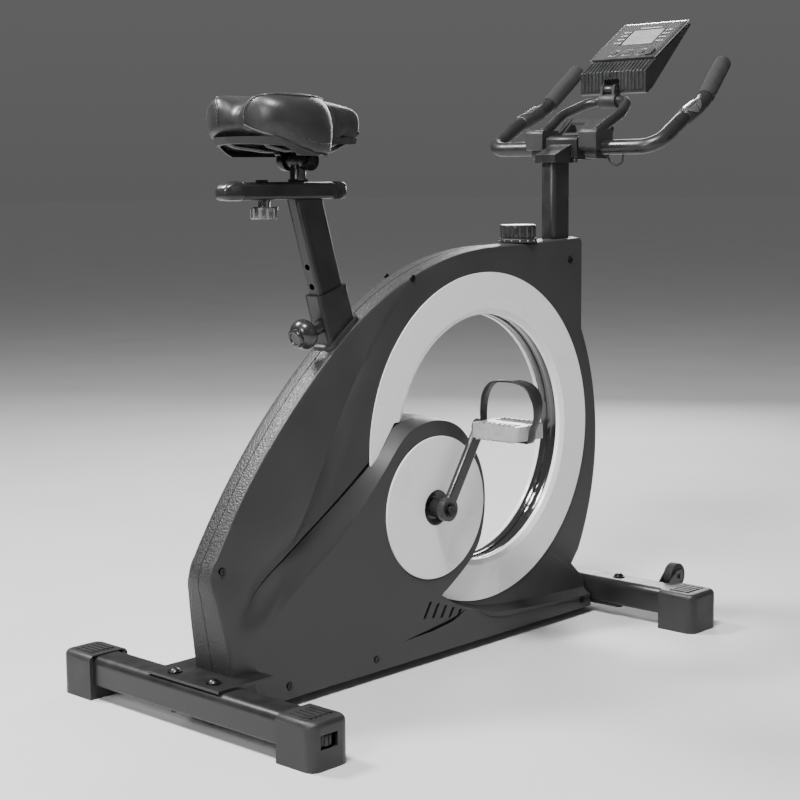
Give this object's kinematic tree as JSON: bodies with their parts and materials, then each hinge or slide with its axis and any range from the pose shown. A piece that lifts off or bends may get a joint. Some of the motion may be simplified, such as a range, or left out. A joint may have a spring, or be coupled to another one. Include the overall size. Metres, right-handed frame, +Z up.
{
  "type": "exercise bike",
  "caption": "Upright exercise bike with an open ring through its casing, crank and cage pedals, sliding saddle, curved handlebar and a tilting console.",
  "frame": {"origin": "on the floor at the middle of the bike's length and width", "axes": "+X forwards from the saddle to the handlebar, +Y to the rider's left, +Z up"},
  "size_m": [1.187, 0.56, 1.0716],
  "materials": {
    "frame_paint": "satin black powder coat",
    "casing_black": "fine matt moulded grain",
    "spine_grey": "coarse moulded grain",
    "ring_white": "gloss white",
    "liner_black": "gloss black",
    "cap_plastic": "matt moulded grain",
    "rubber": "matt",
    "bolt_steel": "zinc plated",
    "crank_black": "satin black",
    "flywheel_iron": "turned",
    "pedal_clear": "clear grey moulding over a metal core",
    "strap_black": "ribbed strap",
    "saddle_skin": "grained vinyl with stitched panels",
    "grip_foam": "closed-cell foam",
    "sensor_steel": "brushed",
    "panel_silver": "satin silver",
    "wheel_rubber": "moulded"
  },
  "bodies": {
    "frame": {"base_frame": "frame_paint", "handlebar_post": "frame_paint", "handlebar_clamp": "frame_paint", "housing_right": "casing_black", "housing_left": "casing_black", "spine_cover": "spine_grey", "ring_trim_right": "ring_white", "ring_trim_left": "ring_white", "ring_liner": "liner_black", "rear_stabiliser": "frame_paint", "front_stabiliser": "frame_paint", "stabiliser_caps": "cap_plastic", "fasteners": "bolt_steel", "seat_collar": "rubber", "bearings": "bolt_steel", "drive_axles": "bolt_steel", "drive_belt": "rubber", "tension_cable": "rubber", "knob_base": "cap_plastic"},
    "crank": {"crank_axle": "bolt_steel", "crank_arm_right": "crank_black", "crank_arm_left": "crank_black", "crank_pulley": "crank_black", "crank_disc_right": "ring_white", "crank_disc_left": "ring_white", "pedal_spindles": "bolt_steel"},
    "right_pedal": {"pedal_right": "pedal_clear", "toe_cage_right": "strap_black"},
    "left_pedal": {"pedal_left": "pedal_clear", "toe_cage_left": "strap_black"},
    "flywheel_unit": {"flywheel": "flywheel_iron", "flywheel_pulley": "bolt_steel"},
    "brake": {"magnet_bracket": "bolt_steel"},
    "tension_knob": {"resistance_knob": "cap_plastic"},
    "seat_column": {"seat_post": "frame_paint", "seat_rail": "frame_paint", "rail_plugs": "cap_plastic"},
    "height_pin": {"pop_pin": "cap_plastic"},
    "rail_knob": {"slider_knob": "cap_plastic"},
    "saddle_slider": {"seat_slider": "bolt_steel"},
    "saddle": {"saddle_clamp": "bolt_steel", "saddle_rails": "bolt_steel", "saddle_shell": "cap_plastic", "saddle_cushion": "saddle_skin"},
    "handlebar": {"handlebar_tube": "frame_paint", "handlebar_hoop": "frame_paint", "handlebar_tray": "cap_plastic", "grips": "grip_foam", "pulse_sensors": "sensor_steel", "sensor_lead": "rubber", "console_mount": "cap_plastic"},
    "console": {"console_body": "cap_plastic", "console_panel": "panel_silver"},
    "button_left": {"console_button_left": "panel_silver"},
    "button_middle": {"console_button_middle": "panel_silver"},
    "button_right": {"console_button_right": "panel_silver"},
    "right_leveller": {"leveller_right": "cap_plastic"},
    "left_leveller": {"leveller_left": "cap_plastic"},
    "right_wheel": {"transport_wheel_right": "wheel_rubber"},
    "left_wheel": {"transport_wheel_left": "wheel_rubber"}
  },
  "joints": [
    {"name": "crank_spin", "type": "hinge", "parent": "frame", "child": "crank", "pos_m": [-0.0855, 0, 0.257], "axis": [0, 1, 0], "continuous": true},
    {"name": "right_pedal_spin", "type": "hinge", "parent": "crank", "child": "right_pedal", "pos_m": [-0.0038, -0.13, 0.3828], "axis": [0, 1, 0], "continuous": true},
    {"name": "left_pedal_spin", "type": "hinge", "parent": "crank", "child": "left_pedal", "pos_m": [-0.1672, 0.13, 0.1312], "axis": [0, 1, 0], "continuous": true},
    {"name": "flywheel_spin", "type": "hinge", "parent": "frame", "child": "flywheel_unit", "pos_m": [-0.3205, 0, 0.18], "axis": [0, 1, 0], "continuous": true},
    {"name": "tension_turn", "type": "hinge", "parent": "frame", "child": "tension_knob", "pos_m": [0.1795, 0, 0.69], "axis": [0, 0, 1], "range_deg": [0, 300]},
    {"name": "brake_lift", "type": "hinge", "parent": "frame", "child": "brake", "pos_m": [-0.2375, 0, 0.278], "axis": [0, 1, 0], "range_deg": [0, 8]},
    {"name": "seat_height", "type": "slide", "parent": "frame", "child": "seat_column", "axis": [-0.284, 0, 0.9588], "range_m": [-0.09, 0.12]},
    {"name": "height_pin_pull", "type": "slide", "parent": "frame", "child": "height_pin", "axis": [-0.9588, 0, -0.284], "range_m": [0, 0.012], "stiffness_N_per_m": 1200, "springref_m": -0.006},
    {"name": "rail_knob_turn", "type": "hinge", "parent": "seat_column", "child": "rail_knob", "pos_m": [-0.4075, 0, 0.74], "axis": [0, 0, 1], "range_deg": [0, 360]},
    {"name": "saddle_slide", "type": "slide", "parent": "seat_column", "child": "saddle_slider", "axis": [1, 0, 0], "range_m": [-0.027, 0.03]},
    {"name": "saddle_tilt", "type": "hinge", "parent": "saddle_slider", "child": "saddle", "pos_m": [-0.3385, 0, 0.815], "axis": [0, 1, 0], "range_deg": [-15, 15]},
    {"name": "handlebar_tilt", "type": "hinge", "parent": "frame", "child": "handlebar", "pos_m": [0.3235, 0, 0.838], "axis": [0, 1, 0], "range_deg": [-15, 15]},
    {"name": "console_tilt", "type": "hinge", "parent": "handlebar", "child": "console", "pos_m": [0.4435, 0, 0.944], "axis": [0, 1, 0], "range_deg": [-10, 20]},
    {"name": "press_left", "type": "slide", "parent": "console", "child": "button_left", "axis": [0.5446, 0, -0.8387], "range_m": [0, 0.001], "stiffness_N_per_m": 400, "springref_m": -0.0005},
    {"name": "press_middle", "type": "slide", "parent": "console", "child": "button_middle", "axis": [0.5446, 0, -0.8387], "range_m": [0, 0.001], "stiffness_N_per_m": 400, "springref_m": -0.0005},
    {"name": "press_right", "type": "slide", "parent": "console", "child": "button_right", "axis": [0.5446, 0, -0.8387], "range_m": [0, 0.001], "stiffness_N_per_m": 400, "springref_m": -0.0005},
    {"name": "right_leveller_turn", "type": "hinge", "parent": "frame", "child": "right_leveller", "pos_m": [-0.5615, -0.263, 0.04], "axis": [0, 0, 1], "continuous": true},
    {"name": "left_leveller_turn", "type": "hinge", "parent": "frame", "child": "left_leveller", "pos_m": [-0.5615, 0.263, 0.04], "axis": [0, 0, 1], "continuous": true},
    {"name": "right_wheel_spin", "type": "hinge", "parent": "frame", "child": "right_wheel", "pos_m": [0.4235, -0.165, 0.072], "axis": [0, 1, 0], "continuous": true},
    {"name": "left_wheel_spin", "type": "hinge", "parent": "frame", "child": "left_wheel", "pos_m": [0.4235, 0.165, 0.072], "axis": [0, 1, 0], "continuous": true}
  ],
  "couplings": [
    {"joint": "flywheel_spin", "follows": "crank_spin", "ratio": 4.9722},
    {"joint": "brake_lift", "follows": "tension_turn", "ratio": 0.026667}
  ]
}
